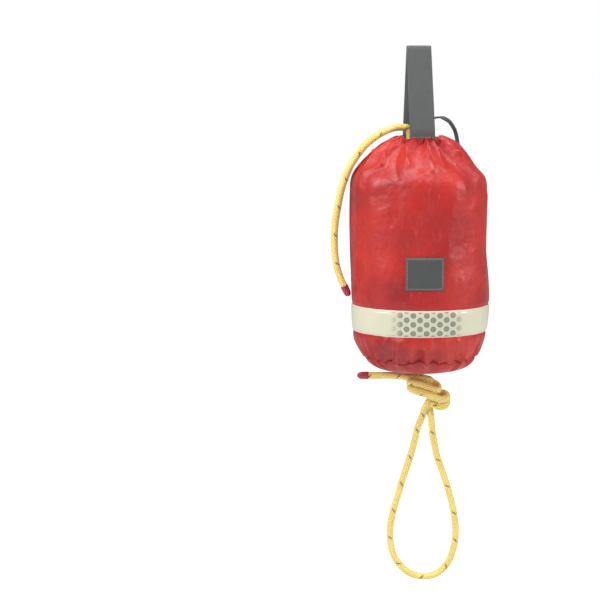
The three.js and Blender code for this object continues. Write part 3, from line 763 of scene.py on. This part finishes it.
# ---------------------------------------------------------------- ropes
FREE_END = [
    (-9, -0.5, -103), (-9.3, -0.5, -96), (-11.5, -1, -89.5), (-18, -2, -88), (-27, -3.5, -88.5),
    (-37, -6, -92), (-48.4, -9, -98.5), (-59.8, -11, -108), (-69, -12, -119.7), (-76.4, -13, -131.7),
    (-81, -13, -143), (-85, -13, -155), (-88.2, -13, -170), (-92.2, -13, -195), (-92.8, -13, -217),
    (-91, -13, -238), (-86, -13, -255), (-81.3, -13, -265),
]
GRAB_LOOP = [
    (6.7, 0, -414.5), (2, 0, -426.6), (-1.1, 0, -440.2), (-6.4, 0, -460.2), (-14.8, 0, -486.4),
    (-19.2, 0, -502.2), (-25.7, 0, -525.3), (-28.8, 0, -546.3), (-26.7, 0, -567.3), (-19.6, 0, -583),
    (-7, 0, -595.1), (9.4, 0, -599.3), (25.4, 0, -595.6), (37.4, 0, -583), (43.8, 0, -565.2),
    (45.8, 0, -546.3), (43.9, 0, -527.4), (38.1, 0, -502.2), (30.7, 0, -479.1), (24.1, 0, -460.2),
    (19.7, 0, -439.2), (17.8, 0, -426.6), (16.9, 0, -414.5),
]
TAIL = [
    (-10.8, 0, -369.2), (-16, -0.7, -368), (-24, -1, -367.3), (-34, -1, -367), (-44, -1, -367),
    (-55.5, -1, -367),
]
KNOT_MAIN = [
    (4, 0, -368), (9, 3, -371.2), (17, 4, -374.8), (24.5, 1, -379.5), (23, -6, -383), (14, -8.5, -379.6),
    (3, -9, -375), (-5.5, -6, -373.5), (-7.5, 1, -376), (-4, 7, -381), (6, 8, -386), (18, 7, -391),
    (30, 5, -394), (34.5, -1, -397.5), (31.5, -6, -400.8), (25, -7, -401.8), (18.5, -3, -399),
    (15.5, 2, -402), (15.8, 1, -409), (16.9, 0, -414.5),
]
KNOT_BIGHT = [
    (6.7, 0, -414.5), (9.8, -1, -405), (13.5, -3, -397), (22, 4, -391), (31, 2, -387.5), (34.5, -4, -391),
    (28, -9, -393), (18, -10.5, -389.5), (7, -11, -385.5), (-3, -8, -383), (-7, -1, -381), (-3, 6, -378),
    (8, 8, -377), (17, 5, -375), (14, 0, -371.5), (3, -2, -369.5), (-10.8, 0, -369.2),
]
TIP_LENGTH, TIP_D = 9, 8.6


def tip_path(points):
    end, before = np.array(points[-1], float), np.array(points[-2], float)
    way = (end - before) / np.linalg.norm(end - before)
    return np.array([end + way * t for t in np.linspace(-1.5, TIP_LENGTH - 1.5, 14)]) * MM


def make_ropes():
    fine = 0.7 * MM
    path = smooth_path(FREE_END, fine)
    free = rope_piece("free_rope", path, ROPE)
    tip = sleeve_piece("free_rope_tip", tip_path(FREE_END), TIP_D / 2 * MM, TIP)
    for piece, node, slot in ((free, "rope_free_end", "rope"), (tip, "rope_free_end_tip", "rope_tip")):
        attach(piece, "free_end")
        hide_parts(node)

    path = smooth_path(GRAB_LOOP, fine)
    loop = rope_piece("grab_loop_rope", path, ROPE)
    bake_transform(loop)
    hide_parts("rope_loop")

    knot = rope_piece("knot_rope", smooth_path(KNOT_MAIN, fine), ROPE)
    bight = rope_piece("knot_bight_rope", smooth_path(KNOT_BIGHT, fine), ROPE, start_at=0.013)
    for piece in (knot, bight):
        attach(piece, "knot")
        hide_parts("rope_knot")
    path = smooth_path(TAIL, fine)
    tail = rope_piece("tail_rope", path, ROPE, start_at=0.006)
    tip = sleeve_piece("tail_rope_tip", tip_path(TAIL), TIP_D / 2 * MM, TIP)
    for piece, node, slot in ((tail, "rope_tail", "rope"), (tip, "rope_tail_tip", "rope_tip")):
        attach(piece, "knot")
        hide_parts(node)


def make_stuffed_rope():
    """The rope inside the bag: flat coils laid one on another, and its way out through the base."""
    low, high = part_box("rope_pack")
    middle = (Vector(low) + Vector(high)) / 2
    points = []
    layers = int((high[2] - low[2] - 2 * ROPE_D) / (ROPE_D * 1.45))
    for layer in range(layers):
        height = low[2] + ROPE_D * (1 + 1.45 * layer)
        rings = [60, 51, 42, 33, 24] if layer % 2 == 0 else [24, 33, 42, 51, 60]
        squeeze = 0.72 if height > -160 * MM else 1
        for number, radius in enumerate(rings):
            for step in range(14):
                turn = 2 * math.pi * (step / 14 + number * 0.13 + layer * 0.31)
                size = radius * squeeze * (1 + 0.05 * math.sin(2 * turn + layer))
                lift = 2.2 * math.sin(3 * turn + layer) + 5 * (number + step / 14) / len(rings)
                points.append((middle.x / MM + size * math.cos(turn), size * DEPTH_RATIO * math.sin(turn),
                               height / MM + lift))
    path = smooth_path(points, 4 * MM)
    pack = rope_piece("stuffed_rope", path, ROPE, sides=12)
    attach(pack, "bag")
    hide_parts("rope_pack")

    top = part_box("inner_stopper_knot")[1][2] / MM
    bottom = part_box("inner_stopper_knot")[0][2] / MM
    middle_z = (top + bottom) / 2
    wraps = [(NECK_X + 7.5 * math.cos(t), 6 * math.sin(t), middle_z + 5 - 10 * k / 24)
             for k, t in enumerate(np.linspace(0, 4 * math.pi, 25))]
    stopper = rope_piece("stopper_knot_rope", smooth_path(wraps, MM), ROPE, sides=24)
    neck_path = smooth_path([(NECK_X, 0, top - 4), (NECK_X, 0, -345), (NECK_X, 0, -368)], MM)
    neck = rope_piece("neck_rope", neck_path, ROPE)
    for piece, node in ((stopper, "inner_stopper_knot"), (neck, "rope_neck")):
        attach(piece, "bag")
        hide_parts(node)


# ---------------------------------------------------------------- drawcord and its lock
LOCK_X, LOCK_Y, LOCK_Z = 50, 71, -150
DRAWCORD = [
    (9, 20, -98), (10.5, 20.3, -89), (16.6, 20.5, -80.5), (26, 21, -78.5), (35, 22, -82.5),
    (41.8, 26, -92), (45, 35, -101), (47, 47, -108), (49, 60, -115), (LOCK_X, LOCK_Y - 1.5, -125),
    (LOCK_X, LOCK_Y, -136), (LOCK_X, LOCK_Y, -150), (LOCK_X, LOCK_Y, -165), (LOCK_X, LOCK_Y, -178),
]
TAPE_W, TAPE_T = 4.5, 2.2
SPRING_R, SPRING_TURNS, SPRING_LOW, SPRING_HIGH = 2.9, 4, 41.8, 45.6


def make_drawcord():
    path = smooth_path(DRAWCORD, 0.8 * MM)
    tangents = np.gradient(path, axis=0)
    tangents /= np.linalg.norm(tangents, axis=1)[:, None]
    share = np.linspace(0, 1, len(path))
    turned = np.clip((share - 0.06) / 0.2, 0, 1)
    turned = (turned * turned * (3 - 2 * turned))[:, None]
    across = np.array([0, 1.0, 0]) * (1 - turned) + np.array([1.0, 0, 0]) * turned
    across -= (across * tangents).sum(1)[:, None] * tangents
    across /= np.linalg.norm(across, axis=1)[:, None]
    thin = np.cross(across, tangents)
    angles = np.linspace(0, 2 * np.pi, 28, endpoint=False)
    flat = np.sign(np.cos(angles)) * np.abs(np.cos(angles)) ** 0.7 * TAPE_W / 2 * MM
    thick = np.sign(np.sin(angles)) * np.abs(np.sin(angles)) ** 0.8 * TAPE_T / 2 * MM
    points = path[:, None] + flat[None, :, None] * across[:, None] + thick[None, :, None] * thin[:, None]
    rows, columns = points.shape[:2]
    along = np.arange(rows) * 0.8 * MM
    uv = np.stack(np.broadcast_arrays(flat[None, :], along[:, None]), axis=-1).reshape(-1, 2)
    caps = [list(range(columns)), [(rows - 1) * columns + k for k in range(columns)][::-1]]
    faces = [*grid_faces(rows, columns), *caps]
    tape = make_mesh("drawcord_tape_run", points.reshape(-1, 3), faces, TAPE_WEB, uv)
    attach(tape, "bag")
    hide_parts("drawcord")

    low, high = (np.array(corner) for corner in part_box("drawcord_end_knot"))
    centre = (low + high) / 2 / MM
    turns = np.linspace(0, 3.6 * math.pi, 30)
    wraps = [(centre[0] + 2.3 * math.cos(t), centre[1] + 2.1 * math.sin(t), centre[2] + 2.4 - 4.8 * k / 29)
             for k, t in enumerate(turns)]
    wraps = smooth_path(wraps, 0.4 * MM)
    knot_points = tube_points(wraps, 1.6 * MM, 14)
    rows = len(knot_points)
    around, down = np.meshgrid(np.linspace(0, 5 * MM, 14), np.arange(rows) * 0.4 * MM)
    uv = np.stack([around, down], axis=-1).reshape(-1, 2)
    knot = make_mesh("drawcord_knot", knot_points.reshape(-1, 3), grid_faces(rows, 14), TAPE_WEB, uv)
    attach(knot, "bag")
    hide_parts("drawcord_end_knot")


def make_spring():
    """The lock's spring as a coil, a little shorter than its room."""
    turn = np.linspace(0, 2 * np.pi * SPRING_TURNS, 120)
    x = np.interp(turn, [0, turn[-1]], [SPRING_LOW, SPRING_HIGH])
    coil = np.column_stack([x, LOCK_Y + SPRING_R * np.cos(turn), LOCK_Z + SPRING_R * np.sin(turn)]) * MM
    points = tube_points(coil, 0.4 * MM, 10, True, True, first=(1, 0, 0))
    spring = make_mesh("lock_spring_coil", points.reshape(-1, 3), grid_faces(len(points), 10), STEEL)
    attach(spring, "cord_lock_button")
    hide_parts("cord_lock_spring")


def finish_cad_nodes():
    for node, material in (("cord_lock_barrel", BLACK_PLASTIC), ("cord_lock_button", BLACK_PLASTIC),
                           ("base_grommet", BRASS), ("grommet_washer", BRASS), ("float_disc", FOAM)):
        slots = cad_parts[node].data.materials
        for k in range(len(slots)):
            slots[k] = material


# ---------------------------------------------------------------- stage and light
def area_light(name, place, size, power, aim=(0, 0, -0.28)):
    data = bpy.data.lights.new(name, "AREA")
    data.shape = "RECTANGLE"
    data.size, data.size_y = size
    data.energy = power
    lamp = bpy.data.objects.new(name, data)
    bpy.context.collection.objects.link(lamp)
    lamp.location = place
    lamp.rotation_euler = (Vector(aim) - Vector(place)).to_track_quat("-Z", "Y").to_euler()


def make_stage():
    bpy.context.scene.view_settings.view_transform = "Standard"
    n = Nodes("studio_floor", Roughness=0.9, Specular_IOR_Level=0.1)
    n.shader.inputs["Base Color"].default_value = (0.9, 0.9, 0.9, 1)
    emit = n.new("ShaderNodeEmission")
    path = n.new("ShaderNodeLightPath")
    n.link(n.math("MULTIPLY", path.outputs["Is Camera Ray"], 0.78), emit.inputs["Strength"])
    both = n.new("ShaderNodeAddShader")
    n.link(n.shader.outputs[0], both.inputs[0])
    n.link(emit.outputs[0], both.inputs[1])
    n.link(both.outputs[0], n.tree.nodes["Material Output"].inputs["Surface"])
    side = 6
    corners = [(-side, -side, -0.85), (side, -side, -0.85), (side, side, -0.85), (-side, side, -0.85)]
    floor = make_mesh("studio_floor", corners, [(0, 1, 2, 3)], n.material)

    world = bpy.data.worlds.new("studio")
    bpy.context.scene.world = world
    world.use_nodes = True
    tree = world.node_tree
    back = tree.nodes["Background"]
    back.inputs["Color"].default_value = (1, 1, 1, 1)
    # Whiter to the camera than to the part, and brighter above and below than all round.
    rays = tree.nodes.new("ShaderNodeLightPath")
    where = tree.nodes.new("ShaderNodeTexCoord")
    parts = tree.nodes.new("ShaderNodeSeparateXYZ")
    steep = tree.nodes.new("ShaderNodeMath")
    steep.operation = "POWER"
    steep.inputs[1].default_value = 2
    sky = tree.nodes.new("ShaderNodeMath")
    sky.operation = "MULTIPLY_ADD"
    sky.inputs[1].default_value = 0.42
    sky.inputs[2].default_value = 0.20
    bright = tree.nodes.new("ShaderNodeMath")
    bright.operation = "MAXIMUM"
    tree.links.new(where.outputs["Generated"], parts.inputs[0])
    tree.links.new(parts.outputs["Z"], steep.inputs[0])
    tree.links.new(steep.outputs[0], sky.inputs[0])
    tree.links.new(sky.outputs[0], bright.inputs[0])
    tree.links.new(rays.outputs["Is Camera Ray"], bright.inputs[1])
    tree.links.new(bright.outputs[0], back.inputs["Strength"])
    area_light("key_left", (-1.6, -0.9, 0.8), (0.4, 1.4), 30)
    area_light("key_right", (1.7, -0.7, 0.5), (0.4, 1.4), 20)
    area_light("top", (0, -0.5, 1.3), (0.9, 0.9), 17)


# ---------------------------------------------------------------- build
make_camera()
make_ropes()
make_stuffed_rope()
make_drawcord()
make_handle()
make_bag()
make_band()
make_stitching(*make_label())
make_spring()
finish_cad_nodes()
make_stage()
